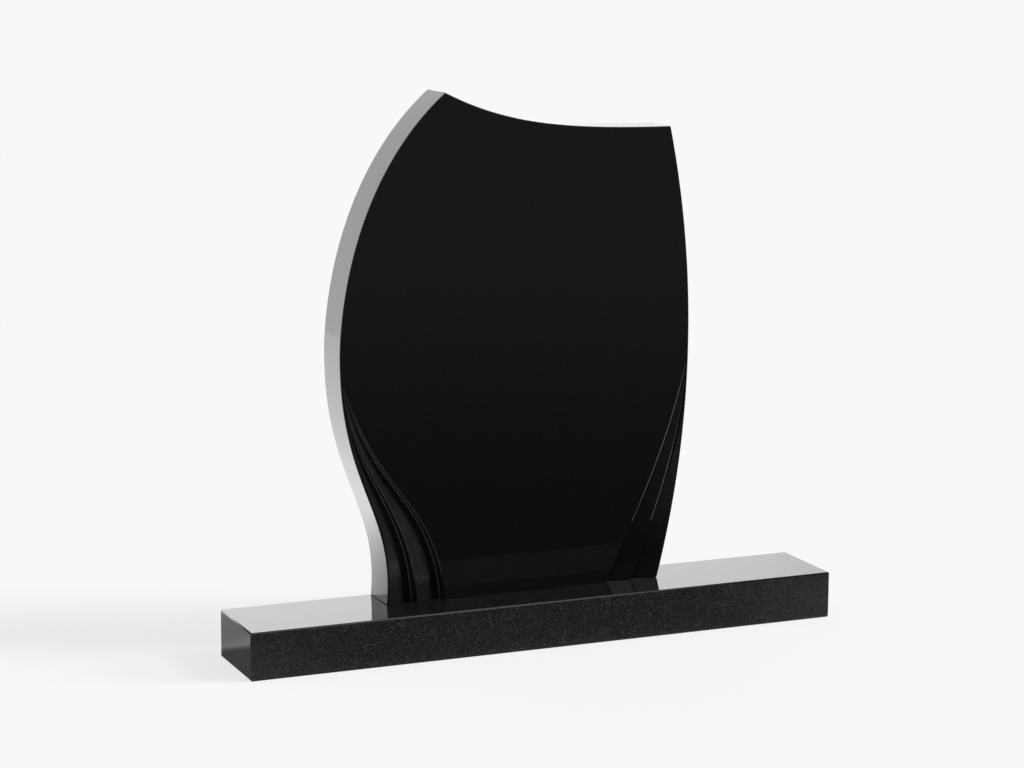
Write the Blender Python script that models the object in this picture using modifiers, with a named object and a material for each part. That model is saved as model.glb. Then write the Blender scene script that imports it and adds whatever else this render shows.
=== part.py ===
"""Blank memorial of polished black granite: a tablet with a flowing outline on a long, low base.

Metres, +Z up. The origin is the middle of the base's underside. X runs along the base,
and the face of the tablet looks towards -Y.
"""

from dataclasses import dataclass
from math import radians, tan

import bmesh
import bpy
import numpy as np


@dataclass(frozen=True)
class Crest:
    """The inner edge of a carved band, as shares of the tablet's width and height.

    It leaves the tablet's edge at the height apex, and is a cubic curve from there to foot.
    """

    apex: float
    pulls: tuple
    foot: tuple


# Base block
BASE_LENGTH = 1.000
BASE_DEPTH = 0.150
BASE_HEIGHT = 0.076
BASE_ARRIS = 0.002

# Tablet slab
TABLET_WIDTH = 0.598
TABLET_HEIGHT = 0.798
TABLET_THICKNESS = 0.072
TABLET_ARRIS = 0.0008
SHARP_EDGE = radians(20)

# Where the tablet stands: its middle left of the base's, its back just inside the base's back
TABLET_SHIFT = -0.0295
BACK_SETBACK = 0.002
JOINT = 0.0003
FACE_Y = BASE_DEPTH / 2 - BACK_SETBACK - TABLET_THICKNESS
FOOT_Z = BASE_HEIGHT + JOINT

# Stepped bands: depth of each step at the foot, and how far its wall leans outwards
STEP_DEPTH = 0.016
WALL_LEAN = radians(10)
EDGE_LAND = 0.003
CREST_LAND = 0.0015

# Free outline of the tablet, as shares of its width from the middle and of its height.
# Each span is a cubic curve: the two corners of its frame between its ends.
FOOT_LEFT = (-0.3714, 0.0)
WAIST_PULLS = ((-0.3480, 0.1895), (-0.5, 0.2396))
BULGE = (-0.5, 0.4967)
SHOULDER_PULLS = ((-0.5, 0.5390), (-0.4891, 0.8244))
PEAK = (-0.2113, 1.0)
SCOOP_PULLS = ((-0.0397, 0.9359), (0.1283, 0.9221))
CORNER = (0.4345, 0.9221)
BOW_PULLS = ((0.5277, 0.6182), (0.5214, 0.3018))
FOOT_RIGHT = (0.4164, 0.0)

# Crests of the bands: those that bound the face, and those between the two bands of a side
LEFT_FACE_CREST = Crest(0.4434, ((-0.3854, 0.2020), (-0.2375, 0.2115)), (-0.2060, 0.0))
LEFT_BAND_CREST = Crest(0.4296, ((-0.4427, 0.2401), (-0.3020, 0.1936)), (-0.2844, 0.0))
RIGHT_FACE_CREST = Crest(0.4509, ((0.4571, 0.3006), (0.3611, 0.1503)), (0.2602, 0.0))
RIGHT_BAND_CREST = Crest(0.4309, ((0.4805, 0.2873), (0.4072, 0.1436)), (0.3355, 0.0))

# Fineness of the facets, and of the curves that heights are read from
SPAN_STEPS = 26
BAND_STEPS = 22
CURVE_STEPS = 200
WELD = 0.00001

# The cutters: how far they run past the slab's foot, stand proud of its face, and pass their apex
CUT_CLEARANCE = 0.010
CUT_PROUD = 0.001
CUT_RUN_OUT = 0.003


def remove_old_objects():
    """Clears what an earlier run left behind."""
    for old in list(bpy.data.objects):
        bpy.data.objects.remove(old, do_unlink=True)


def new_collection(name):
    """Adds a collection to the scene."""
    collection = bpy.data.collections.new(name)
    bpy.context.scene.collection.children.link(collection)
    return collection


def granite(name, colour, roughness):
    """Black granite with a given finish."""
    material = bpy.data.materials.new(name)
    material.use_nodes = True
    shader = material.node_tree.nodes["Principled BSDF"]
    shader.inputs["Base Color"].default_value = (*colour, 1.0)
    shader.inputs["Roughness"].default_value = roughness
    shader.inputs["Metallic"].default_value = 0.0
    return material


def cubic(start, pulls, end, count):
    """Points of a cubic curve from start towards end, without the end itself."""
    t = np.linspace(0.0, 1.0, count + 1)[:-1, None]
    first, second = pulls
    corners = [np.array(corner) for corner in (start, first, second, end)]
    weights = ((1 - t) ** 3, 3 * t * (1 - t) ** 2, 3 * t**2 * (1 - t), t**3)
    return sum(weight * corner for weight, corner in zip(weights, corners))


def to_size(shares):
    """Turns shares of the tablet into metres: x along the base, z above the tablet's foot."""
    return np.asarray(shares) * (TABLET_WIDTH, TABLET_HEIGHT)


def outline():
    """The tablet's whole outline, clockwise from its left foot; the foot itself is straight."""
    spans = (
        (FOOT_LEFT, WAIST_PULLS, BULGE),
        (BULGE, SHOULDER_PULLS, PEAK),
        (PEAK, SCOOP_PULLS, CORNER),
        (CORNER, BOW_PULLS, FOOT_RIGHT),
    )
    shares = [cubic(start, pulls, end, SPAN_STEPS) for start, pulls, end in spans]
    return to_size(np.vstack([*shares, FOOT_RIGHT]))


def edge_at(heights, side):
    """How far out the tablet's edge is at some heights below its bulge, for side -1 or +1."""
    if side < 0:
        edge = np.vstack([cubic(FOOT_LEFT, WAIST_PULLS, BULGE, CURVE_STEPS), BULGE])
    else:
        edge = np.vstack([cubic(CORNER, BOW_PULLS, FOOT_RIGHT, CURVE_STEPS), FOOT_RIGHT])[::-1]
    edge = to_size(edge)
    return np.interp(heights, edge[:, 1], edge[:, 0])


def inset_edge_at(heights, side):
    """The outer limit of the carving: the edge less the land that is left along it."""
    return edge_at(heights, side) - side * EDGE_LAND


def crest_at(heights, crest, side):
    """How far out a crest is at some heights; above its apex it keeps to the edge's land."""
    apex_height = crest.apex * TABLET_HEIGHT
    apex = (inset_edge_at(apex_height, side) / TABLET_WIDTH, crest.apex)
    curve = to_size(np.vstack([cubic(apex, crest.pulls, crest.foot, CURVE_STEPS), crest.foot]))[::-1]
    below = np.interp(heights, curve[:, 1], curve[:, 0])
    return np.where(heights > apex_height, inset_edge_at(heights, side), below)


def tablet_blank(collection, material):
    """The slab before carving: its outline as a flat curve, given the slab's thickness."""
    curve = bpy.data.curves.new("tablet_outline", "CURVE")
    curve.dimensions = "2D"
    curve.fill_mode = "BOTH"
    curve.extrude = TABLET_THICKNESS / 2
    points = outline()
    spline = curve.splines.new("POLY")
    spline.points.add(len(points) - 1)
    for point, (x, z) in zip(spline.points, points):
        point.co = (x, z, 0.0, 1.0)
    spline.use_cyclic_u = True

    drawn = bpy.data.objects.new("tablet_outline", curve)
    collection.objects.link(drawn)
    drawn.location = (TABLET_SHIFT, FACE_Y + TABLET_THICKNESS / 2, FOOT_Z)
    drawn.rotation_euler = (radians(90), 0.0, 0.0)
    bpy.context.view_layer.update()

    evaluated = drawn.evaluated_get(bpy.context.evaluated_depsgraph_get())
    mesh = bpy.data.meshes.new_from_object(evaluated)
    mesh.name = "tablet"
    shape = bmesh.new()
    shape.from_mesh(mesh)
    bmesh.ops.remove_doubles(shape, verts=shape.verts, dist=WELD)
    bmesh.ops.recalc_face_normals(shape, faces=shape.faces)
    shape.to_mesh(mesh)
    shape.free()
    mesh.materials.clear()
    mesh.materials.append(material)

    slab = bpy.data.objects.new("tablet", mesh)
    slab.matrix_world = drawn.matrix_world
    collection.objects.link(slab)
    bpy.data.objects.remove(drawn, do_unlink=True)
    return slab


def band_cutter(name, collection, side, crest, next_crest, land):
    """A tapering wedge that cuts one band.

    Its section is a saw tooth: from the inner crest a steep wall goes down to the full
    depth, and from there the band rises to the face again at the next crest, or at the
    tablet's edge. The depth is full at the foot and falls by a parabola to nothing at
    the apex.
    """
    apex = crest.apex * TABLET_HEIGHT
    levels = np.append(0.0, np.linspace(0.0, apex, BAND_STEPS))
    heights = levels.copy()
    heights[0] -= CUT_CLEARANCE
    heights[-1] += CUT_RUN_OUT
    fade = 1 - (levels / apex) ** 2
    depths = STEP_DEPTH * fade
    depths[-1] -= CUT_PROUD / 2
    inner = crest_at(levels, crest, side) + side * land * fade
    outer = crest_at(levels, next_crest, side) if next_crest else inset_edge_at(levels, side)
    deepest = inner + side * depths * tan(WALL_LEAN)

    # Both slopes of the saw tooth run on in front of the face, up to where the wedge is capped
    wall_top = inner - side * CUT_PROUD * tan(WALL_LEAN)
    flare = (outer - deepest)[:-1] / depths[:-1]
    band_top = outer + CUT_PROUD * np.append(flare, flare[-1])

    rings = []
    shape = bmesh.new()
    for height, depth, wall_x, deep_x, band_x in zip(heights, depths, wall_top, deepest, band_top):
        plan = ((wall_x, -CUT_PROUD), (deep_x, depth), (band_x, -CUT_PROUD))
        rings.append([shape.verts.new((TABLET_SHIFT + x, FACE_Y + y, FOOT_Z + height)) for x, y in plan])
    for lower, upper in zip(rings, rings[1:]):
        for first in range(len(lower)):
            second = (first + 1) % len(lower)
            shape.faces.new((lower[first], lower[second], upper[second], upper[first]))
    shape.faces.new(rings[0])
    shape.faces.new(rings[-1])
    bmesh.ops.recalc_face_normals(shape, faces=shape.faces)
    mesh = bpy.data.meshes.new(name)
    shape.to_mesh(mesh)
    shape.free()

    cutter = bpy.data.objects.new(name, mesh)
    cutter.hide_render = True
    cutter.display_type = "WIRE"
    collection.objects.link(cutter)
    return cutter


def add_bevel(piece, width):
    """Takes the sharp arrises off a piece with a narrow flat."""
    bevel = piece.modifiers.new("arris", "BEVEL")
    bevel.width = width
    bevel.segments = 1
    bevel.limit_method = "ANGLE"
    bevel.angle_limit = SHARP_EDGE


def carve(slab, cutters):
    """Cuts each band out of the slab."""
    for cutter in cutters:
        cut = slab.modifiers.new(cutter.name, "BOOLEAN")
        cut.operation = "DIFFERENCE"
        cut.solver = "EXACT"
        cut.object = cutter


def build_tablet(parts, cutters, material):
    """The slab with its arrises and the two stepped bands at each side of its foot."""
    slab = tablet_blank(parts, material)
    add_bevel(slab, TABLET_ARRIS)
    sides = (
        ("left", -1, LEFT_FACE_CREST, LEFT_BAND_CREST),
        ("right", 1, RIGHT_FACE_CREST, RIGHT_BAND_CREST),
    )
    for word, side, face_crest, band_crest in sides:
        inner = band_cutter(f"{word}_inner_band", cutters, side, face_crest, band_crest, 0.0)
        outer = band_cutter(f"{word}_outer_band", cutters, side, band_crest, None, CREST_LAND)
        carve(slab, (inner, outer))


def build_base(parts, material):
    """The long, low block under the tablet, its arrises taken off."""
    bpy.ops.mesh.primitive_cube_add(size=1.0, location=(0.0, 0.0, BASE_HEIGHT / 2))
    block = bpy.context.object
    block.name = block.data.name = "base"
    block.scale = (BASE_LENGTH, BASE_DEPTH, BASE_HEIGHT)
    bpy.ops.object.transform_apply(location=False, rotation=False, scale=True)
    block.data.materials.append(material)
    for collection in list(block.users_collection):
        collection.objects.unlink(block)
    parts.objects.link(block)
    add_bevel(block, BASE_ARRIS)


def main():
    """Builds the memorial."""
    remove_old_objects()
    parts = new_collection("inscription_tablet")
    cutters = new_collection("cutters")
    polished = granite("polished_black_granite", (0.012, 0.012, 0.013), 0.08)
    honed = granite("honed_black_granite", (0.022, 0.022, 0.024), 0.35)
    build_base(parts, honed)
    build_tablet(parts, cutters, polished)


main()
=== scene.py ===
"""Blank memorial of black granite in a pale studio: its two stones, their finishes, light and camera.

Metres, +Z up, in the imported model's own frame: X runs along the base, and the face looks towards -Y.
The shapes repeat the CAD source's named sizes; what they add is the small work of the mason's hand:
the dulled arrises of the crests and the narrow hollows that the wheel left at the foot of each wall.
"""

import logging
from dataclasses import dataclass, field
from enum import Enum
from math import cos, radians, sin, tan

import bmesh
import bpy
import numpy as np
from mathutils import Matrix, Vector


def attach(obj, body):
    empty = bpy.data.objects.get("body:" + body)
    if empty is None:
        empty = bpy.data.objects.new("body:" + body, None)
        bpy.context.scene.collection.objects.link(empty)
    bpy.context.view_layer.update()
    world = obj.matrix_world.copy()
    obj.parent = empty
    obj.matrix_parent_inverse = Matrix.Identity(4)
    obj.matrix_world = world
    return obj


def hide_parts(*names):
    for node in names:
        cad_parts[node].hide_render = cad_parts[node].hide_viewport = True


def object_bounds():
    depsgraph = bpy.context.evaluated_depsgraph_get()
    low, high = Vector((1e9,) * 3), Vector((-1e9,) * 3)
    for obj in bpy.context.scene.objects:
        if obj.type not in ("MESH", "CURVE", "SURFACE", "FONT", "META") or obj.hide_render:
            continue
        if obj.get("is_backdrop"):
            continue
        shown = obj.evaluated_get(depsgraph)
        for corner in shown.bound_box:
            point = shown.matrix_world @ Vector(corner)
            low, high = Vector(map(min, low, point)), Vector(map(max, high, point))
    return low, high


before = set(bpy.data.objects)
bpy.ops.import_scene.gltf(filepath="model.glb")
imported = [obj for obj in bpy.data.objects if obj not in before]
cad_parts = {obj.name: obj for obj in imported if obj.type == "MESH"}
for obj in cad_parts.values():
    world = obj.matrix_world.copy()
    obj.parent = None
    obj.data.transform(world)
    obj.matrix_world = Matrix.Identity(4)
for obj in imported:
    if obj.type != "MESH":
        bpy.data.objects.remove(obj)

BODY = "root"
MILLIMETRE = 0.001
BACKDROP = "f7f7f7"
# Points of two patches that lie nearer than this are one
WELD = 2e-6
# Numbers of a Mix node's sockets: the two colours that go in, and the mixed one that comes out
MIX_FIRST = 6
MIX_SECOND = 7
MIX_OUT = 2

Point = tuple[float, float]
Span = tuple[float, float]
Triple = tuple[float, float, float]
log = logging.getLogger("memorial")


class Side(Enum):
    """The two sides of the tablet, as the sign of X."""

    LEFT = -1
    RIGHT = 1


class Zone(Enum):
    """The kinds of surface on a stone. Shading is smooth inside a zone and breaks between two."""

    FACE = 0
    WALL = 1
    BAND = 2
    LAND = 3
    HOLLOW = 4
    ARRIS = 5
    RIM = 6
    BACK = 7
    FOOT = 8
    TOP = 9
    END = 10
    SIDE = 11


def linear(hex_colour: str) -> tuple[float, float, float, float]:
    """Turns an sRGB hex colour into the linear colour that a shader takes.

    Each channel c becomes c / 12.92 up to 0.04045, and ((c + 0.055) / 1.055) ** 2.4 above it.

    Args:
        hex_colour: six hex digits, such as "f7f7f8".

    Returns:
        Linear red, green and blue, and an alpha of 1.
    """
    channels = np.array([int(hex_colour[at : at + 2], 16) / 255 for at in (0, 2, 4)])
    low = channels / 12.92
    high = ((channels + 0.055) / 1.055) ** 2.4
    return (*np.where(channels <= 0.04045, low, high).tolist(), 1.0)


def add_node(
    tree: bpy.types.NodeTree, kind: str, inputs: dict | None = None, **settings: object
) -> bpy.types.Node:
    """Adds a node to a tree, with its settings and its links.

    Args:
        tree: the node tree.
        kind: the node's type, such as "ShaderNodeTexNoise".
        inputs: what goes into its sockets, by name or number: a value, or the socket it is linked to.
        settings: the node's own properties.

    Returns:
        The new node.
    """
    node = tree.nodes.new(kind)
    for name, value in settings.items():
        setattr(node, name, value)
    for socket, value in (inputs or {}).items():
        if isinstance(value, bpy.types.NodeSocket):
            tree.links.new(value, node.inputs[socket])
        else:
            node.inputs[socket].default_value = value
    return node


@dataclass(frozen=True)
class GraniteFinish:
    """Black gabbro, sold as black granite, with one way of surfacing it.

    The stone is an even mass of dark grains with a few paler feldspar laths among them. Polished,
    the grains sink into a near-black mirror. Honed, the scratched surface scatters light and turns
    dark grey, and the grains show as a fine pepper.

    Attributes:
        name: the stone and its surface.
        ground: colour of the dark grains.
        fleck: colour of the feldspar laths.
        fleck_share: share of the grains that are feldspar.
        roughness: mean roughness of the surface.
        unevenness: how much the roughness wanders.
        grain: size of a grain in metres.
        relief: height of the scratches and pits in metres.
        ior: index of refraction.
        fleck_fade: how far below and above the limit of their share the flecks set in.
        cloud_scale: fineness of the clouds that the flecks gather in.
        drift_scale: fineness of the drift in the polish.
        drift_span: the part of the drift that the whole unevenness is spread over.
        pit_scale: fineness of the pits, for a grain of one metre.
    """

    name: str
    ground: str
    fleck: str
    fleck_share: float
    roughness: float
    unevenness: float
    grain: float = 1.4 * MILLIMETRE
    relief: float = 0.0
    ior: float = 1.56
    fleck_fade: Span = (0.08, 0.06)
    cloud_scale: float = 38.0
    drift_scale: float = 22.0
    drift_span: Span = (0.25, 0.75)
    pit_scale: float = 0.55

    def material(self) -> bpy.types.Material:
        """Builds the stone: random grains for colour, a slow drift for the polish, fine pits for relief.

        Returns:
            The material.
        """
        made = bpy.data.materials.new(self.name)
        made.use_nodes = True
        tree = made.node_tree
        tree.nodes.clear()
        place = add_node(tree, "ShaderNodeTexCoord").outputs["Object"]

        # Each grain is one cell with its own random grey; the palest share of them are feldspar
        cells = add_node(tree, "ShaderNodeTexVoronoi", {"Vector": place, "Scale": 1 / self.grain})
        chance = add_node(tree, "ShaderNodeSeparateColor", {"Color": cells.outputs["Color"]})
        limit = 1 - self.fleck_share
        below, above = self.fleck_fade
        flecks = add_node(
            tree,
            "ShaderNodeMapRange",
            {"Value": chance.outputs["Red"], "From Min": limit - below, "From Max": limit + above},
            interpolation_type="SMOOTHSTEP",
        )
        # Grains gather in loose clouds a few centimetres across
        clouds = add_node(
            tree,
            "ShaderNodeTexNoise",
            {"Vector": place, "Scale": self.cloud_scale, "Detail": 3.0, "Roughness": 0.55},
        )
        factors = {0: flecks.outputs["Result"], 1: clouds.outputs["Fac"]}
        share = add_node(tree, "ShaderNodeMath", factors, operation="MULTIPLY")
        shade = add_node(
            tree,
            "ShaderNodeMix",
            {0: share.outputs["Value"], MIX_FIRST: linear(self.ground), MIX_SECOND: linear(self.fleck)},
            data_type="RGBA",
        )

        # The gloss drifts a little over the stone, as the pads pressed on it
        drift = add_node(
            tree,
            "ShaderNodeTexNoise",
            {"Vector": place, "Scale": self.drift_scale, "Detail": 4.0, "Roughness": 0.6},
        )
        low, high = self.drift_span
        roughness = add_node(
            tree,
            "ShaderNodeMapRange",
            {
                "Value": drift.outputs["Fac"],
                "From Min": low,
                "From Max": high,
                "To Min": self.roughness - self.unevenness,
                "To Max": self.roughness + self.unevenness,
            },
        )
        pits = add_node(
            tree,
            "ShaderNodeTexNoise",
            {"Vector": place, "Scale": self.pit_scale / self.grain, "Detail": 2.0, "Roughness": 0.5},
        )
        bump = add_node(tree, "ShaderNodeBump", {"Distance": self.relief, "Height": pits.outputs["Fac"]})
        shader = add_node(
            tree,
            "ShaderNodeBsdfPrincipled",
            {
                "Base Color": shade.outputs[MIX_OUT],
                "Roughness": roughness.outputs["Result"],
                "Normal": bump.outputs["Normal"],
                "IOR": self.ior,
            },
        )
        add_node(tree, "ShaderNodeOutputMaterial", {"Surface": shader.outputs["BSDF"]})
        return made


# A diamond-polished slab: a black mirror, in which the grains hardly show
POLISHED = GraniteFinish(
    "polished_black_granite", "060606", "0e0e0f", fleck_share=0.12, roughness=0.04, unevenness=0.006
)
# The slab's edge, polished by hand along its curve: the same mirror, a shade softer
POLISHED_EDGE = GraniteFinish(
    "hand_polished_granite_edge", "090909", "1a1b1c", fleck_share=0.15, roughness=0.09, unevenness=0.015
)
# The top of the block: polished, with its grains open enough to blur what it mirrors
POLISHED_TOP = GraniteFinish(
    "polished_granite_block_top", "0d0d0d", "242425", fleck_share=0.2, roughness=0.08, unevenness=0.015,
    grain=1.6 * MILLIMETRE,
)
# Bands ground by a profiled wheel and polished with small pads: a softer, slightly greyer gloss
CARVED = GraniteFinish(
    "carved_granite_band", "0d0d0d", "1e1e1f", fleck_share=0.15, roughness=0.09, unevenness=0.02
)
# Steep walls, too narrow for a pad: the dull black of the grinding wheel
GROUND = GraniteFinish(
    "wheel_ground_granite", "161616", "2a2a2b", fleck_share=0.2, roughness=0.34, unevenness=0.03,
    relief=0.01 * MILLIMETRE,
)
# The block's front, rubbed with coarse grit: a dark-grey satin peppered with grains
HONED_BLOCK = GraniteFinish(
    "honed_black_granite", "0b0b0b", "2c2c2d", fleck_share=0.25, roughness=0.30, unevenness=0.03,
    grain=1.7 * MILLIMETRE, relief=0.03 * MILLIMETRE,
)
# Arrises and hollows that the polishing pads don't reach: the stone's dry grey, which also stands as
# painted highlight for the thin bright lines along these edges
RUBBED_ARRIS_AND_HIGHLIGHT = GraniteFinish(
    "rubbed_granite_arris_and_highlight", "303132", "484849", fleck_share=0.25, roughness=0.22, unevenness=0.04,
    grain=1.2 * MILLIMETRE,
)


@dataclass
class Shell:
    """The patches of one closed surface, which are welded into a mesh.

    Attributes:
        points: arrays of points, one for each patch.
        faces: corner numbers of each face.
        zones: the zone of each face.
        count: how many points there are so far.
    """

    points: list[np.ndarray] = field(default_factory=list)
    faces: list[list[int]] = field(default_factory=list)
    zones: list[int] = field(default_factory=list)
    count: int = 0

    def add_grid(self, grid: np.ndarray, zones: np.ndarray | Zone) -> None:
        """Adds a patch of four-cornered faces between neighbouring points of a grid.

        Args:
            grid: points, rows by columns by 3.
            zones: one zone for the whole patch, or zone numbers, rows - 1 by columns - 1.
        """
        rows, columns = grid.shape[:2]
        number = self.count + np.arange(rows * columns).reshape(rows, columns)
        corners = (number[:-1, :-1], number[:-1, 1:], number[1:, 1:], number[1:, :-1])
        quads = np.stack(corners, axis=-1).reshape(-1, 4)
        kinds = zones.value if isinstance(zones, Zone) else np.asarray(zones)
        self.points.append(grid.reshape(-1, 3))
        self.faces += quads.tolist()
        self.zones += np.broadcast_to(kinds, (rows - 1, columns - 1)).ravel().tolist()
        self.count += rows * columns

    def add_polygon(self, corners: np.ndarray, zone: Zone) -> None:
        """Adds one flat face through a ring of corners.

        Args:
            corners: the ring, corners by 3.
            zone: zone of the face.
        """
        self.points.append(corners)
        self.faces.append(list(range(self.count, self.count + len(corners))))
        self.zones.append(zone.value)
        self.count += len(corners)

    def build(self, name: str, finishes: dict[GraniteFinish, tuple[Zone, ...]]) -> bpy.types.Object:
        """Welds the patches into a closed mesh with its faces outward, and gives each zone its finish.

        Args:
            name: name of the piece.
            finishes: the zones that each finish covers.

        Returns:
            The piece, linked into the scene.
        """
        mesh = bpy.data.meshes.new(name)
        mesh.from_pydata(np.vstack(self.points).tolist(), [], self.faces)
        mesh.attributes.new("zone", "INT", "FACE").data.foreach_set("value", self.zones)

        slots = {}
        for number, (finish, zones) in enumerate(finishes.items()):
            mesh.materials.append(finish.material())
            slots.update({zone.value: number for zone in zones})

        shape = bmesh.new()
        shape.from_mesh(mesh)
        bmesh.ops.remove_doubles(shape, verts=shape.verts, dist=WELD)
        bmesh.ops.recalc_face_normals(shape, faces=shape.faces)
        layer = shape.faces.layers.int["zone"]
        for face in shape.faces:
            face.smooth = True
            face.material_index = slots[face[layer]]
        for edge in shape.edges:
            edge.smooth = len({face[layer] for face in edge.link_faces}) == 1
        open_edges = sum(len(edge.link_faces) != 2 for edge in shape.edges)
        shape.to_mesh(mesh)
        shape.free()
        log.info("%s: %d faces, %d open edges", name, len(mesh.polygons), open_edges)

        piece = bpy.data.objects.new(name, mesh)
        bpy.context.scene.collection.objects.link(piece)
        return piece


def cubic(start: Point, pulls: tuple[Point, Point], end: Point, steps: int) -> np.ndarray:
    """Points of a cubic curve, with both of its ends.

    A point at t is (1-t)^3 start + 3t(1-t)^2 first pull + 3t^2(1-t) second pull + t^3 end.

    Args:
        start: where it begins.
        pulls: the two corners of its frame.
        end: where it ends.
        steps: number of steps along it.

    Returns:
        Points, steps + 1 by 2.
    """
    t = np.linspace(0.0, 1.0, steps + 1)[:, None]
    weights = ((1 - t) ** 3, 3 * t * (1 - t) ** 2, 3 * t**2 * (1 - t), t**3)
    corners = [np.array(corner) for corner in (start, *pulls, end)]
    return sum(weight * corner for weight, corner in zip(weights, corners))


def fade(heights: np.ndarray, apex: float) -> np.ndarray:
    """The share of its full depth that a band keeps at some heights: 1 - (z / apex)^2, at least 0."""
    return np.clip(1 - (heights / apex) ** 2, 0.0, None)


def unit(vectors: np.ndarray) -> np.ndarray:
    """Vectors of length 1; a vector of no length stays as it is."""
    length = np.linalg.norm(vectors, axis=-1, keepdims=True)
    return vectors / np.where(length > 0, length, 1.0)


@dataclass(frozen=True)
class Line:
    """A line in the plane of the face, finely stepped, with the stone on one side of it.

    Attributes:
        points: its points as x and z.
        stone: +1 where the stone lies to the right of the way it runs, or -1 to the left.
    """

    points: np.ndarray
    stone: int

    @property
    def reach(self) -> np.ndarray:
        """Distance of each point along the line."""
        return np.append(0.0, np.cumsum(np.linalg.norm(np.diff(self.points, axis=0), axis=1)))

    def at(self, distances: np.ndarray) -> tuple[np.ndarray, np.ndarray]:
        """Points at some distances along the line, and the way into the stone there.

        The way in is the tangent turned by a quarter: (tz, -tx) to the right, (-tz, tx) to the left.

        Args:
            distances: distances along the line.

        Returns:
            The points, and the unit vectors into the stone.
        """
        tangents = np.gradient(self.points, self.reach, axis=0)
        inward = unit(np.stack([tangents[:, 1], -tangents[:, 0]], axis=-1)) * self.stone
        places = [np.interp(distances, self.reach, self.points[:, axis]) for axis in (0, 1)]
        ways = [np.interp(distances, self.reach, inward[:, axis]) for axis in (0, 1)]
        return np.stack(places, axis=-1), unit(np.stack(ways, axis=-1))

    def distance_of(self, heights: np.ndarray) -> np.ndarray:
        """How far along the line some heights are, on a line that only rises."""
        return np.interp(heights, self.points[:, 1], self.reach)


@dataclass(frozen=True)
class Crest:
    """The inner edge of a carved band, as shares of the tablet's width and height.

    It leaves the tablet's edge at the apex, and is a cubic curve from there to the foot.

    Attributes:
        apex: height of the apex.
        pulls: the two corners of the curve's frame.
        foot: its lower end.
    """

    apex: float
    pulls: tuple[Point, Point]
    foot: Point


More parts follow.
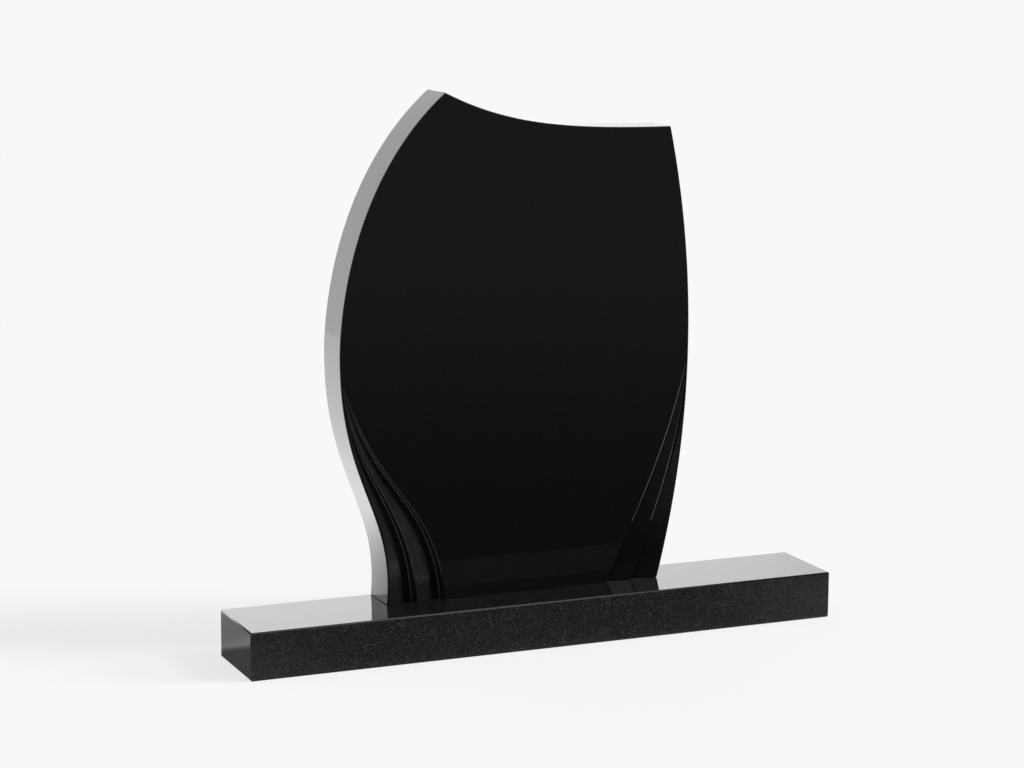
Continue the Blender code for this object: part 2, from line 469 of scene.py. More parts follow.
@dataclass(frozen=True)
class Tablet:
    """The upright slab: a flowing outline, and two stepped bands carved at each side of its foot.

    Attributes:
        width, height, thickness: its whole size.
        arris: width of the flats that dull its sharp edges.
        shift: x of its middle.
        face_y: y of its face.
        foot_z: z of its foot.
        step_depth: depth of the carving at the foot.
        wall_lean: how far the walls lean from upright.
        edge_land: land left between the outer band and the edge.
        crest_land: land left on the outer crest at the foot.
        crest_arris: width of a crest's flat.
        crest_fall: depth of that flat as a share of its width.
        hollow: reach of the hollow at the foot of a wall.
        small_share: the most of the carving's depth that a flat or a hollow takes.
        dull_highlight_from: heights where the crests' dull flats begin, at the left and at the right;
            below
        them the painted highlight of their pale grey gives way to the face's polish.
        foot_left to foot_right: the outline's curves, as shares of the width and the height.
        left_face_crest to right_band_crest: the crests, in the same shares.
        curve_steps, band_rows, tip_rows, edge_rows, face_columns: how finely it is meshed.
    """

    width: float = 0.598
    height: float = 0.798
    thickness: float = 0.072
    arris: float = 0.0008
    shift: float = -0.0295
    face_y: float = 0.001
    foot_z: float = 0.0763

    step_depth: float = 0.016
    wall_lean: float = radians(10)
    edge_land: float = 0.003
    crest_land: float = 0.0015
    crest_arris: float = 0.0012
    crest_fall: float = 0.5
    hollow: float = 0.0016
    small_share: float = 0.25
    dull_highlight_from: Point = (0.040, 0.100)

    foot_left: Point = (-0.3714, 0.0)
    waist_pulls: tuple[Point, Point] = ((-0.3480, 0.1895), (-0.5, 0.2396))
    bulge: Point = (-0.5, 0.4967)
    shoulder_pulls: tuple[Point, Point] = ((-0.5, 0.5390), (-0.4891, 0.8244))
    peak: Point = (-0.2113, 1.0)
    scoop_pulls: tuple[Point, Point] = ((-0.0397, 0.9359), (0.1283, 0.9221))
    corner: Point = (0.4345, 0.9221)
    bow_pulls: tuple[Point, Point] = ((0.5277, 0.6182), (0.5214, 0.3018))
    foot_right: Point = (0.4164, 0.0)

    left_face_crest: Crest = Crest(0.4434, ((-0.3854, 0.2020), (-0.2375, 0.2115)), (-0.2060, 0.0))
    left_band_crest: Crest = Crest(0.4296, ((-0.4427, 0.2401), (-0.3020, 0.1936)), (-0.2844, 0.0))
    right_face_crest: Crest = Crest(0.4509, ((0.4571, 0.3006), (0.3611, 0.1503)), (0.2602, 0.0))
    right_band_crest: Crest = Crest(0.4309, ((0.4805, 0.2873), (0.4072, 0.1436)), (0.3355, 0.0))

    curve_steps: int = 1500
    band_rows: int = 90
    tip_rows: int = 8
    edge_rows: int = 90
    face_columns: int = 64

    def to_size(self, shares: np.ndarray) -> np.ndarray:
        """Turns shares of the tablet into metres: x from its middle, z above its foot."""
        return np.asarray(shares) * (self.width, self.height)

    def edge_line(self, side: Side) -> Line:
        """One side of the outline.

        Args:
            side: the side.

        Returns:
            Its line, from the foot up to the peak or the corner.
        """
        if side is Side.LEFT:
            waist = cubic(self.foot_left, self.waist_pulls, self.bulge, self.curve_steps)
            shoulder = cubic(self.bulge, self.shoulder_pulls, self.peak, self.curve_steps)
            return Line(self.to_size(np.vstack([waist, shoulder[1:]])), 1)
        bow = cubic(self.corner, self.bow_pulls, self.foot_right, self.curve_steps)
        return Line(self.to_size(bow[::-1]), -1)

    def top_line(self) -> Line:
        """The scooped top, from the peak to the corner."""
        return Line(self.to_size(cubic(self.peak, self.scoop_pulls, self.corner, self.curve_steps)), 1)

    def mitre(self, side: Side) -> np.ndarray:
        """The corner of the face at the peak or the corner, inside its two arrises.

        With unit ways m and n into the stone across both edges, it lies arris * (m + n) / (1 + m.n) in.

        Args:
            side: left for the peak, right for the corner.

        Returns:
            The corner of the face as x and z.
        """
        edge = self.edge_line(side)
        top = self.top_line()
        tip, across_edge = edge.at(edge.reach[-1:])
        _, across_top = top.at(top.reach[:1] if side is Side.LEFT else top.reach[-1:])
        lean = 1 + np.sum(across_edge * across_top)
        return (tip + self.arris * (across_edge + across_top) / lean)[0]

    def place(self, flat: np.ndarray, depth: np.ndarray | float) -> np.ndarray:
        """Puts points of the face's plane into the model's frame.

        Args:
            flat: x and z of the points, from the tablet's middle and foot.
            depth: how far they lie behind the face.

        Returns:
            The points, with an x, y and z each.
        """
        depth = np.broadcast_to(depth, flat.shape[:-1])
        across = flat[..., 0] + self.shift
        return np.stack([across, depth + self.face_y, flat[..., 1] + self.foot_z], axis=-1)

    def crest_x(self, heights: np.ndarray, crest: Crest, side: Side) -> np.ndarray:
        """How far out a crest is at some heights. Above its apex it keeps to the land along the edge.

        Args:
            heights: heights above the tablet's foot.
            crest: the crest.
            side: its side of the tablet.

        Returns:
            The x of each height.
        """
        tip = crest.apex * self.height
        start = (float(self.inset_x(np.array([tip]), side)[0]) / self.width, crest.apex)
        curve = self.to_size(cubic(start, crest.pulls, crest.foot, self.curve_steps))[::-1]
        below = np.interp(heights, curve[:, 1], curve[:, 0])
        return np.where(heights > tip, self.inset_x(heights, side), below)

    def inset_x(self, heights: np.ndarray, side: Side) -> np.ndarray:
        """The outer limit of the carving at some heights: the edge less the land that is left along it."""
        edge = self.edge_line(side).points
        return np.interp(heights, edge[:, 1], edge[:, 0]) - side.value * self.edge_land

    def flat_width(self, depth: np.ndarray) -> np.ndarray:
        """Width of the dulled flat on a crest, which shrinks with the depth of the carving."""
        return np.minimum(self.crest_arris, self.small_share * depth)

    def band_columns(
        self, heights: np.ndarray, side: Side, top: np.ndarray, out: np.ndarray, apex: float
    ) -> list[tuple[np.ndarray, np.ndarray]]:
        """The section of one band at each height, from its crest outwards.

        A steep wall goes down from the crest to the depth there, which is step_depth times the fade,
        and the band rises from there to the face again. The crest is dulled by a narrow flat, and a
        narrow hollow lies at the foot of the wall. Both shrink with the depth.

        Args:
            heights: heights above the tablet's foot.
            side: its side of the tablet.
            top: x of the wall's crest at each height.
            out: x where the band reaches the face.
            apex: height of the band's apex.

        Returns:
            For each column of the section, x and the depth behind the face at each height: the wall's
            top, the hollow's two sides, and the outer end of the band.
        """
        depth = self.step_depth * fade(heights, apex)
        flat = self.flat_width(depth) * self.crest_fall
        hollow = np.minimum(self.hollow, self.small_share * depth)
        deepest = np.stack([top + side.value * depth * tan(self.wall_lean), depth], axis=-1)
        up_wall = np.array([-side.value * sin(self.wall_lean), -cos(self.wall_lean)])
        up_band = unit(np.stack([out - deepest[:, 0], -depth], axis=-1))
        on_wall = deepest + hollow[:, None] * up_wall
        on_band = deepest + hollow[:, None] * up_band
        return [
            (top + side.value * flat * tan(self.wall_lean), flat),
            (on_wall[:, 0], on_wall[:, 1]),
            (on_band[:, 0], on_band[:, 1]),
            (out, np.zeros_like(out)),
        ]

    def side_rows(self, side: Side) -> dict[str, np.ndarray]:
        """The rows of points that make one side of the tablet, from its foot up.

        Args:
            side: the side.

        Returns:
            "carving": points from the face's edge across both bands to the front arris, rows by 10 by 3;
            "rim": points across the arrises and the edge to the back, rows by 4 by 3.
        """
        face_crest, band_crest = {
            Side.LEFT: (self.left_face_crest, self.left_band_crest),
            Side.RIGHT: (self.right_face_crest, self.right_band_crest),
        }[side]
        line = self.edge_line(side)
        face_apex = face_crest.apex * self.height
        band_apex = band_crest.apex * self.height
        carved = np.append(
            np.linspace(self.arris, band_apex, self.band_rows)[:-1],
            np.linspace(band_apex, face_apex, self.tip_rows),
        )
        start = float(line.distance_of(np.array([face_apex]))[0])
        above = np.linspace(start, line.reach[-1] - self.arris, self.edge_rows)[1:]
        distances = np.append(line.distance_of(carved), above)
        outer, inward = line.at(distances)
        heights = outer[:, 1]
        inner = outer + self.arris * inward
        inner[-1] = self.mitre(side)

        # Section of both bands; above the apex every column keeps to the land along the edge
        face_x = self.crest_x(heights, face_crest, side)
        band_x = self.crest_x(heights, band_crest, side)
        inset = self.inset_x(heights, side)
        face_depth = self.step_depth * fade(heights, face_apex)
        face_edge = face_x - side.value * self.flat_width(face_depth)
        columns = [(face_edge, np.zeros_like(face_edge))]
        columns += self.band_columns(heights, side, face_x, band_x, face_apex)
        wall_top = band_x + side.value * self.crest_land * fade(heights, band_apex)
        columns += self.band_columns(heights, side, wall_top, inset, band_apex)
        across = np.stack([x for x, _ in columns], axis=1)
        depths = np.stack([depth for _, depth in columns], axis=1)
        flat = np.stack([across, np.broadcast_to(heights[:, None], across.shape)], axis=-1)

        # Above the apex the land narrows to nothing at the tip
        rise = np.clip((heights - face_apex) / (heights[-1] - face_apex), 0.0, 1.0)[:, None, None]
        flat = flat * (1 - rise) + inner[:, None, :] * rise
        flat = np.concatenate([flat, inner[:, None, :]], axis=1)
        depths = np.concatenate([depths, np.zeros_like(depths[:, :1])], axis=1)
        carving = self.place(flat, depths)

        back = self.thickness
        rim = np.stack(
            [
                self.place(inner, 0.0),
                self.place(outer, self.arris),
                self.place(outer, back - self.arris),
                self.place(inner, back),
            ],
            axis=1,
        )
        return {"carving": self.with_foot(carving), "rim": self.with_foot_rim(rim)}

    def with_foot(self, rows: np.ndarray) -> np.ndarray:
        """Puts a row under the lowest one, on the foot's plane and an arris further back.

        Args:
            rows: rows of points on the front, from the lowest up.

        Returns:
            The rows with the new one first.
        """
        foot = rows[:1].copy()
        foot[..., 1] += self.arris
        foot[..., 2] = self.foot_z
        return np.concatenate([foot, rows], axis=0)

    def with_foot_rim(self, rim: np.ndarray) -> np.ndarray:
        """Puts a row under the rim's lowest one, an arris inside the edge, the face and the back.

        Args:
            rim: rows of four points across the rim, from the lowest up.

        Returns:
            The rows with the new one first.
        """
        foot = rim[:1].copy()
        foot[:, :, 0] = rim[:1, :1, 0]
        foot[:, :2, 1] = self.face_y + self.arris
        foot[:, 2:, 1] = self.face_y + self.thickness - self.arris
        foot[..., 2] = self.foot_z
        return np.concatenate([foot, rim], axis=0)

    def top_columns(self) -> np.ndarray:
        """The points that make the top, from the peak to the corner.

        Returns:
            Points across the top's arrises and edge to the back, columns by 4 by 3.
        """
        line = self.top_line()
        distances = np.linspace(self.arris, line.reach[-1] - self.arris, self.face_columns + 1)
        outer, inward = line.at(distances)
        inner = outer + self.arris * inward
        inner[0] = self.mitre(Side.LEFT)
        inner[-1] = self.mitre(Side.RIGHT)
        back = self.thickness
        rows = [self.place(inner, 0.0), self.place(outer, self.arris)]
        rows += [self.place(outer, back - self.arris), self.place(inner, back)]
        return np.stack(rows, axis=1)

    def flat_patch(self, left: np.ndarray, right: np.ndarray, top: np.ndarray) -> np.ndarray:
        """Fills a flat face between its two sides, its top and a straight foot.

        A point is the blend of left and right, plus the blend of foot and top, less the blend of the
        four corners: (1-u) L(v) + u R(v) + (1-v) F(u) + v T(u) - corners.

        Args:
            left: points up the left side.
            right: points up the right side.
            top: points along the top.

        Returns:
            Points, rows by columns by 3.
        """
        u = np.linspace(0.0, 1.0, len(top))[None, :, None]
        v = np.linspace(0.0, 1.0, len(left))[:, None, None]
        foot = left[0] * (1 - u[0]) + right[0] * u[0]
        sides = left[:, None] * (1 - u) + right[:, None] * u
        ends = foot[None] * (1 - v) + top[None] * v
        low = left[0] * (1 - u) + right[0] * u
        high = left[-1] * (1 - u) + right[-1] * u
        return sides + ends - low * (1 - v) - high * v

    def build(self) -> bpy.types.Object:
        """Builds the tablet as one closed mesh and dresses it.

        Returns:
            The tablet.
        """
        sides = {side: self.side_rows(side) for side in Side}
        top = self.top_columns()
        shell = Shell()

        columns = [Zone.ARRIS, Zone.WALL, Zone.HOLLOW, Zone.BAND]
        kinds = np.array([zone.value for zone in [*columns, *columns, Zone.LAND]])
        for rows, dull_highlight_from in zip(sides.values(), self.dull_highlight_from):
            carving = rows["carving"]
            zones = np.tile(kinds, (len(carving) - 1, 1))
            # Near the foot the flats of the crests are polished like the face, so the painted highlight of
            # their pale grey fades out there, higher up at the right than at the left
            low = carving[1:, 0, 2] - self.foot_z < dull_highlight_from
            zones[low[:, None] & (zones == Zone.ARRIS.value)] = Zone.LAND.value
            zones[0] = Zone.ARRIS.value
            shell.add_grid(carving, zones)

        # The rim runs up the left side, over the top and down the right side. Its ends and tips are dulled
        rim = np.concatenate([sides[Side.LEFT]["rim"], top, sides[Side.RIGHT]["rim"][::-1]])
        # Both edges of the rim take the arris finish, whose pale grey is partly painted highlight
        kinds = np.array([zone.value for zone in (Zone.ARRIS, Zone.RIM, Zone.ARRIS)])
        zones = np.tile(kinds, (len(rim) - 1, 1))
        height = len(sides[Side.LEFT]["rim"])
        zones[[0, height - 1, height + len(top) - 1, -1]] = Zone.ARRIS.value
        shell.add_grid(rim, zones)

        left, right = (sides[side]["carving"][1:, 0] for side in Side)
        face = self.flat_patch(left, right, top[:, 0])
        shell.add_grid(face, Zone.FACE)
        front_foot = self.with_foot(face)[:2]
        shell.add_grid(front_foot, Zone.ARRIS)

        left, right = (sides[side]["rim"][1:, 3] for side in Side)
        back = self.flat_patch(left, right, top[:, 3])
        shell.add_grid(back, Zone.BACK)
        back_foot = back[:1].copy()
        back_foot[..., 1] -= self.arris
        back_foot[..., 2] = self.foot_z
        shell.add_grid(np.concatenate([back_foot, back[:1]]), Zone.ARRIS)

        ring = [sides[Side.LEFT]["carving"][0, ::-1], front_foot[0, 1:-1], sides[Side.RIGHT]["carving"][0]]
        ring.append(back_foot[0, ::-1])
        shell.add_polygon(np.vstack(ring), Zone.FOOT)

        finishes = {
            POLISHED: (Zone.FACE, Zone.LAND, Zone.BACK, Zone.FOOT),
            POLISHED_EDGE: (Zone.RIM,),
            CARVED: (Zone.BAND,),
            GROUND: (Zone.WALL,),
            RUBBED_ARRIS_AND_HIGHLIGHT: (Zone.ARRIS, Zone.HOLLOW),
        }
        return shell.build("tablet_stone", finishes)


@dataclass(frozen=True)
class Base:
    """The long, low block under the tablet: polished top and ends, honed front and back.

    Attributes:
        length, depth, height: its whole size.
        arris: how far its arrises are taken off each face.
    """

    length: float = 1.000
    depth: float = 0.150
    height: float = 0.076
    arris: float = 0.002

    def build(self) -> bpy.types.Object:
        """Builds the block as one closed mesh and dresses it.

        Each of its eight corners has three points, one on each face, an arris away from the other two.
        Faces join the points of one axis, flats those of two axes, and the corner tips all three.

        Returns:
            The base.
        """
        half = np.array([self.length, self.depth, self.height]) / 2
        signs = np.array([(x, y, z) for x in (-1, 1) for y in (-1, 1) for z in (-1, 1)])
        inset = self.arris * (1 - np.eye(3))
        middle = np.array([0.0, 0.0, self.height / 2])
        points = signs[:, None, :] * (half - inset[None]) + middle

        shell = Shell()
        for axis in range(3):
            others = [other for other in range(3) if other != axis]
            for sign in (-1, 1):
                corners = points[signs[:, axis] == sign, axis].reshape(2, 2, 3)
                shell.add_grid(corners, (Zone.END, Zone.SIDE, Zone.TOP if sign > 0 else Zone.FOOT)[axis])
                for end in (-1, 1):
                    along = (signs[:, others[0]] == sign) & (signs[:, others[1]] == end)
                    flat = np.stack([points[along, others[0]], points[along, others[1]]])
                    shell.add_grid(flat, Zone.ARRIS)
        for tip in points:
            shell.add_polygon(tip, Zone.ARRIS)
        finishes = {
            HONED_BLOCK: (Zone.SIDE, Zone.FOOT),
            POLISHED: (Zone.END,),
            POLISHED_TOP: (Zone.TOP, Zone.ARRIS),
        }
        return shell.build("base_stone", finishes)


@dataclass(frozen=True)
class Glow:
    """A soft bright region of the room, which lights the stone and shows in its polish.

    Attributes:
        towards: its direction from the memorial.
        edge: cosine of the angle where it fades out.
        full: cosine of the angle inside which it is at its brightest.
        colour: its colour.
        strength: its brightness, where the white paper is about 1.
    """

    towards: Triple
    edge: float
    full: float
    colour: str
    strength: float

    def light(self, tree: bpy.types.NodeTree, way: bpy.types.NodeSocket) -> bpy.types.NodeSocket:
        """Its light in each direction, which rises evenly with the cosine from edge to full.

        Args:
            tree: the world's node tree.
            way: the direction.

        Returns:
            The socket of its light.
        """
        towards = Vector(self.towards).normalized()
        cosine = add_node(tree, "ShaderNodeVectorMath", {0: way, 1: towards}, operation="DOT_PRODUCT")
        amount = add_node(
            tree,
            "ShaderNodeMapRange",
            {
                "Value": cosine.outputs["Value"],
                "From Min": self.edge,
                "From Max": self.full,
                "To Max": self.strength,
            },
        )
        colour = linear(self.colour)[:3]
        parts = {0: colour, "Scale": amount.outputs["Result"]}
        return add_node(tree, "ShaderNodeVectorMath", parts, operation="SCALE").outputs["Vector"]


@dataclass(frozen=True)
class Lamp:
    """A broad lamp, far off, which is hidden from the polished stone as by a diffusing screen.

    Attributes:
        name: its name.
        towards: its direction from the memorial.
        strength: its brightness.
        angle: how wide it looks.
    """

    name: str
    towards: Triple
    strength: float
    angle: float

    def hang(self) -> None:
        """Hangs the lamp."""
        lamp = bpy.data.lights.new(self.name, "SUN")
        lamp.energy = self.strength
        lamp.angle = self.angle
        hung = bpy.data.objects.new(self.name, lamp)
        hung.rotation_mode = "QUATERNION"
        hung.rotation_quaternion = Vector(self.towards).to_track_quat("Z", "Y")
        hung.visible_glossy = False
        bpy.context.scene.collection.objects.link(hung)


def lay_sheet(name: str, corners: list[Point], drop: float) -> tuple[bpy.types.Object, bpy.types.NodeTree]:
    """Lays a flat sheet just under the memorial's foot, with an empty material.

    Args:
        name: name of the sheet.
        corners: its corners as x and y.
        drop: how far under the foot it lies.

    Returns:
        The sheet, and the node tree of its material.
    """
    mesh = bpy.data.meshes.new(name)
    mesh.from_pydata([(x, y, -drop) for x, y in corners], [], [tuple(range(len(corners)))])
    sheet = bpy.data.objects.new(name, mesh)
    bpy.context.scene.collection.objects.link(sheet)
    sheet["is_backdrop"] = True
    material = bpy.data.materials.new(name)
    material.use_nodes = True
    material.node_tree.nodes.clear()
    mesh.materials.append(material)
    return sheet, material.node_tree


@dataclass(frozen=True)
class PaperFloor:
    """The white paper under the memorial, as the camera sees it.

    Attributes:
        reach: half of its width.
        drop: how far it lies under the memorial's foot.
        colour: colour of its own glow.
        glow: strength of that glow.
        coat: colour of the thin coat that takes the soft shadows.
    """

    reach: float = 40.0
    drop: float = 0.0002
    colour: str = BACKDROP
    glow: float = 0.768
    coat: str = "646464"

    def build(self) -> None:
        """Lays a wide pale floor: a glow of its own under a thin diffuse coat."""
        reach = self.reach
        corners = [(-reach, -reach), (reach, -reach), (reach, reach), (-reach, reach)]
        floor, tree = lay_sheet("matt_white_paper", corners, self.drop)
        glow = add_node(tree, "ShaderNodeEmission", {"Color": linear(self.colour), "Strength": self.glow})
        coat = add_node(tree, "ShaderNodeBsdfDiffuse", {"Color": linear(self.coat)})
        layers = {0: glow.outputs["Emission"], 1: coat.outputs["BSDF"]}
        surface = add_node(tree, "ShaderNodeAddShader", layers)
        add_node(tree, "ShaderNodeOutputMaterial", {"Surface": surface.outputs["Shader"]})
        floor.visible_glossy = False
        floor.visible_shadow = False


@dataclass(frozen=True)
class PaintedReflectionFloor:
    """A sheet of painted reflection that only the polished stone sees: dim ahead, bright behind, painted
    shadow near the base.

    Each span is a pair of places, or of distances, between which one thing turns into another.

    Attributes:
        edges: its left, right, front and back.
        drop: how far it lies under the foot, deeper than the paper.
        turn: span of y from the front to the back.
        near, far: brightness a little and far behind the base, each with its span of distances;
        the rise from nothing at the footprint up to near is a painted contact shadow.
        dim: brightness straight ahead, and along the front edge.
        sides, wings: brightness ahead at the sides and far out, each with its span of |x|; the dimmer
        middle is a painted shade of the tablet, and the wings are painted light that the crests glint.
        edge_span: span of y where the front edge's dimness ends.
        kerb: brightness added towards the base, with its span of y.
        coat_near, coat_far: colours of the coat near the base and far off, with their span.
        painted_shadow_share: share of the coat beside and close behind the base, a painted shadow of
        the base, with the span of y where it ends.
    """

    edges: tuple[float, float, float, float] = (-4.0, 4.0, -0.51, 4.0)
    drop: float = 0.0004
    turn: Span = (-0.135, -0.045)

    near: float = 0.03
    near_span: Span = (0.0, 0.12)
    far: float = 1.60
    far_span: Span = (0.20, 0.50)

    dim: float = 0.075
    sides: float = 0.42
    sides_span: Span = (0.27, 0.62)
    wings: float = 0.60
    wings_span: Span = (0.74, 0.90)
    edge_span: Span = (-0.42, -0.26)
    kerb: float = 0.05
    kerb_span: Span = (-0.36, -0.18)

    coat_near: str = "dadada"
    coat_far: str = "b4b4b4"
    coat_span: Span = (0.16, 0.40)
    painted_shadow_share: float = 0.36
    painted_shadow_span: Span = (0.095, 0.135)

    def build(self) -> None:
        """Lays the sheet, and paints its brightness as smooth ramps over x, y and the distance.

        The distance is from the base's footprint: the length of (|x| - half length, |y| - half depth),
        each at least nothing. Behind, the brightness rises with it in two ramps, from nothing at the
        footprint, a painted contact shadow. Ahead, it rises with |x| in two ramps, which leave a painted
        shade of the tablet in the middle, sinks again at the front edge, and gains a little towards the
        base. The coat that takes the lamps' shadows lies behind only. It is palest near the base, whose
        ends mirror the edge of its own shadow, and a painted shadow of the base thins it beside and close
        behind the base.
        """
        left, right, front, back = self.edges
        corners = [(left, front), (right, front), (right, back), (left, back)]
        sheet, tree = lay_sheet("painted_reflection_floor", corners, self.drop)
        place = add_node(tree, "ShaderNodeTexCoord").outputs["Object"]
        across = add_node(tree, "ShaderNodeSeparateXYZ", {"Vector": place}).outputs["Y"]
        folded = add_node(tree, "ShaderNodeVectorMath", {0: place}, operation="ABSOLUTE").outputs["Vector"]
        sideways = add_node(tree, "ShaderNodeSeparateXYZ", {"Vector": folded}).outputs["X"]
        base = Base()
        # Any height above the sheet's own will do as the third, so that only x and y count
        half = (base.length / 2, base.depth / 2, 1.0)
        outside = add_node(tree, "ShaderNodeVectorMath", {0: folded, 1: half}, operation="SUBTRACT")
        bounds = {0: outside.outputs["Vector"], 1: (0.0, 0.0, 0.0)}
        beyond = add_node(tree, "ShaderNodeVectorMath", bounds, operation="MAXIMUM")
        length = add_node(tree, "ShaderNodeVectorMath", {0: beyond.outputs["Vector"]}, operation="LENGTH")
        distance = length.outputs["Value"]

        # Each ramp follows a measure over a span, from one value to another; a name is an earlier ramp
        ramps = {
            # Painted contact shadow: no brightness at the base's footprint, rising to near
            "near": (distance, self.near_span, 0.0, self.near),
            "back": (distance, self.far_span, "near", self.far),
            # A painted shade of the tablet in the middle ahead, and painted light far out for the crests
            # to glint
            "sides": (sideways, self.sides_span, self.dim, self.sides),
            "wings": (sideways, self.wings_span, "sides", self.wings),
            "front": (across, self.edge_span, self.dim, "wings"),
            "kerb": (across, self.kerb_span, 0.0, self.kerb),
            "behind": (across, self.turn, 0.0, 1.0),
            "away": (distance, self.coat_span, 0.0, 1.0),
            # Painted shadow of the base: the coat keeps only a share of itself beside and close behind the
            # base
            "painted_shadow_share": (across, self.painted_shadow_span, self.painted_shadow_share, 1.0),
        }
        levels: dict[str, bpy.types.NodeSocket] = {}
        for name, (measure, (start, end), low, high) in ramps.items():
            ends = {"To Min": levels.get(low, low), "To Max": levels.get(high, high)}
            ramp = add_node(
                tree,
                "ShaderNodeMapRange",
                {"Value": measure, "From Min": start, "From Max": end, **ends},
                interpolation_type="SMOOTHSTEP",
            )
            levels[name] = ramp.outputs["Result"]

        terms = {0: levels["front"], 1: levels["kerb"]}
        ahead = add_node(tree, "ShaderNodeMath", terms, operation="ADD")
        strength = add_node(
            tree,
            "ShaderNodeMapRange",
            {"Value": levels["behind"], "To Min": ahead.outputs["Value"], "To Max": levels["back"]},
        )
        glow = add_node(tree, "ShaderNodeEmission", {"Strength": strength.outputs["Result"]})
        colour = add_node(
            tree,
            "ShaderNodeMix",
            {0: levels["away"], MIX_FIRST: linear(self.coat_near), MIX_SECOND: linear(self.coat_far)},
            data_type="RGBA",
        )
        coat = add_node(tree, "ShaderNodeBsdfDiffuse", {"Color": colour.outputs[MIX_OUT]})
        # The coat lies behind only, thinned there by the painted shadow of the base
        factors = {0: levels["behind"], 1: levels["painted_shadow_share"]}
        share = add_node(tree, "ShaderNodeMath", factors, operation="MULTIPLY")
        thin = add_node(tree, "ShaderNodeMixShader", {0: share.outputs["Value"], 2: coat.outputs["BSDF"]})
        layers = {0: glow.outputs["Emission"], 1: thin.outputs["Shader"]}
        surface = add_node(tree, "ShaderNodeAddShader", layers)
        add_node(tree, "ShaderNodeOutputMaterial", {"Surface": surface.outputs["Shader"]})
        sheet.visible_camera = False
        sheet.visible_diffuse = False
        sheet.visible_shadow = False
        sheet.visible_transmission = False


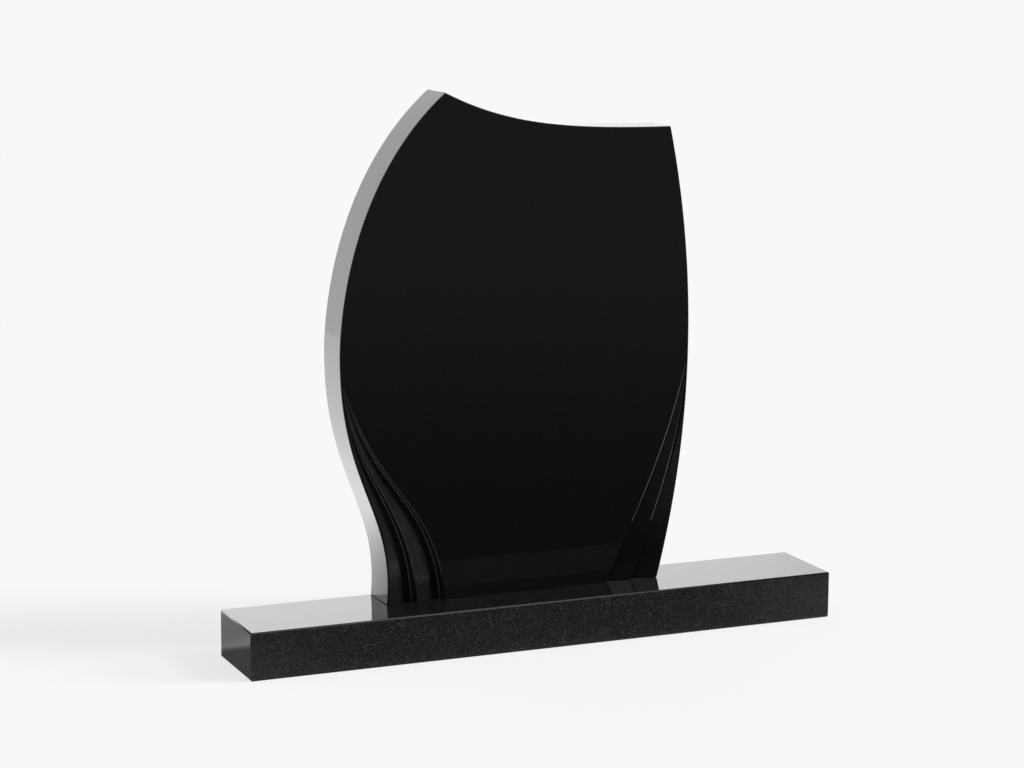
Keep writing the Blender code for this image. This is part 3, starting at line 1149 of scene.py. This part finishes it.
@dataclass(frozen=True)
class Studio:
    """A product photographer's room: a bright white sweep behind, a dim front, two lamps at the right.

    Attributes:
        backdrop: colour of the sweep, as the camera sees it.
        gloom: light of the front where it has no glow.
        front: the glow ahead of the memorial.
        front_dim: share of the gloom and the glow that is left low down and high up.
        front_rise: heights of a direction between which that share rises to the whole.
        front_fall: heights between which it sinks back.
        glows: the sweep, a patch on it behind the top, the left of the room, the ceiling.
        floors: the paper floor, and the sheet of painted reflection that only the polished stone sees.
        lamps: the two lamps.
    """

    backdrop: str = BACKDROP
    gloom: float = 0.018
    front: Glow = Glow(towards=(0.47, -0.88, -0.05), edge=0.65, full=0.98, colour="ffffff", strength=0.108)
    front_dim: float = 0.22
    front_rise: Span = (-0.235, -0.12)
    front_fall: Span = (0.02, 0.16)
    glows: tuple[Glow, ...] = (
        Glow(towards=(-0.26, 0.97, -0.07), edge=0.38, full=0.978, colour="fdfeff", strength=2.05),
        Glow(towards=(0.374, 0.880, 0.292), edge=0.975, full=0.9945, colour="fdfeff", strength=0.98),
        Glow(towards=(-0.94, -0.34, 0.0), edge=0.68, full=0.97, colour="ffffff", strength=0.17),
        Glow(towards=(0.0, -0.30, 1.0), edge=0.45, full=0.95, colour="ffffff", strength=1.30),
    )
    floors: tuple[PaperFloor, PaintedReflectionFloor] = (PaperFloor(), PaintedReflectionFloor())
    lamps: tuple[Lamp, ...] = (
        Lamp(name="low_side_lamp", towards=(1.0, -0.375, 0.30), strength=6.0, angle=radians(22)),
        Lamp(name="high_side_lamp", towards=(1.0, -0.50, 0.95), strength=2.0, angle=radians(12)),
    )

    def build_world(self) -> None:
        """Paints the room: one plain colour for the camera, soft glows for the light and the reflections.

        The front's gloom and its glow rise smoothly with the height of the direction, from a dim share
        to the whole, and sink to that share again above eye level. The other glows are added to them.
        """
        world = bpy.data.worlds.new("studio")
        bpy.context.scene.world = world
        world.use_nodes = True
        tree = world.node_tree
        tree.nodes.clear()
        way = add_node(tree, "ShaderNodeTexCoord").outputs["Generated"]
        height = add_node(tree, "ShaderNodeSeparateXYZ", {"Vector": way}).outputs["Z"]
        low, high = self.front_rise
        rise = add_node(
            tree,
            "ShaderNodeMapRange",
            {"Value": height, "From Min": low, "From Max": high, "To Min": self.front_dim},
            interpolation_type="SMOOTHSTEP",
        )
        low, high = self.front_fall
        share = add_node(
            tree,
            "ShaderNodeMapRange",
            {
                "Value": height,
                "From Min": low,
                "From Max": high,
                "To Min": rise.outputs["Result"],
                "To Max": self.front_dim,
            },
            interpolation_type="SMOOTHSTEP",
        )
        terms = {0: self.front.light(tree, way), 1: (self.gloom,) * 3}
        ahead = add_node(tree, "ShaderNodeVectorMath", terms, operation="ADD")
        factors = {0: ahead.outputs["Vector"], "Scale": share.outputs["Result"]}
        light = add_node(tree, "ShaderNodeVectorMath", factors, operation="SCALE").outputs["Vector"]
        for glow in self.glows:
            terms = {0: light, 1: glow.light(tree, way)}
            light = add_node(tree, "ShaderNodeVectorMath", terms, operation="ADD").outputs["Vector"]
        room = add_node(tree, "ShaderNodeBackground", {"Color": light})
        plain = add_node(tree, "ShaderNodeBackground", {"Color": linear(self.backdrop)})
        seen = add_node(tree, "ShaderNodeLightPath").outputs["Is Camera Ray"]
        views = {0: seen, 1: room.outputs["Background"], 2: plain.outputs["Background"]}
        mixed = add_node(tree, "ShaderNodeMixShader", views)
        add_node(tree, "ShaderNodeOutputWorld", {"Surface": mixed.outputs["Shader"]})


@dataclass(frozen=True)
class Camera:
    """The photograph's viewpoint, fitted to straight edges of the base and the tablet.

    Attributes:
        eye: where it stands.
        target: what it is aimed at.
        roll: its turn about the line of sight.
        lens: focal length in millimetres.
        sensor: width of the film in millimetres.
        clip: the nearest and the farthest that it sees.
    """

    eye: Triple = (-1.7576, -3.9255, 1.2075)
    target: Triple = (-0.0413, 0.0, 0.4144)
    roll: float = radians(0.4586)
    lens: float = 97.41
    sensor: float = 36.0
    clip: Span = (0.05, 200.0)

    def build(self) -> None:
        """Sets the camera up and makes it the scene's own."""
        data = bpy.data.cameras.new("camera")
        data.lens = self.lens
        data.sensor_width = self.sensor
        data.clip_start, data.clip_end = self.clip
        camera = bpy.data.objects.new("camera", data)
        ahead = Vector(self.target) - Vector(self.eye)
        camera.rotation_mode = "QUATERNION"
        camera.location = self.eye
        turn = ahead.to_track_quat("-Z", "Y").to_matrix() @ Matrix.Rotation(self.roll, 3, "Z")
        camera.rotation_quaternion = turn.to_quaternion()
        bpy.context.scene.collection.objects.link(camera)
        bpy.context.scene.camera = camera


def box_as_lists() -> list[list[float]]:
    """The lowest and highest corner of what shows, as plain lists."""
    bpy.context.view_layer.update()
    return [list(corner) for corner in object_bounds()]


def main() -> None:
    """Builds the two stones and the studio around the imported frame."""
    logging.basicConfig(level=logging.INFO, format="%(name)s: %(message)s")
    cad_box = box_as_lists()

    bpy.context.scene.view_settings.view_transform = "Standard"
    Camera().build()
    stones = (
        (Base().build(), "base", "base_granite"),
        (Tablet().build(), "tablet", "tablet_granite"),
    )
    for stone, node, slot in stones:
        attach(stone, BODY)
        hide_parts(node)
        log.info("%s stands for %s", stone.name, node)

    studio = Studio()
    studio.build_world()
    for floor in studio.floors:
        floor.build()
    for lamp in studio.lamps:
        lamp.hang()

    {"cad": cad_box, "visual": box_as_lists()}


if __name__ == "__main__":
    main()
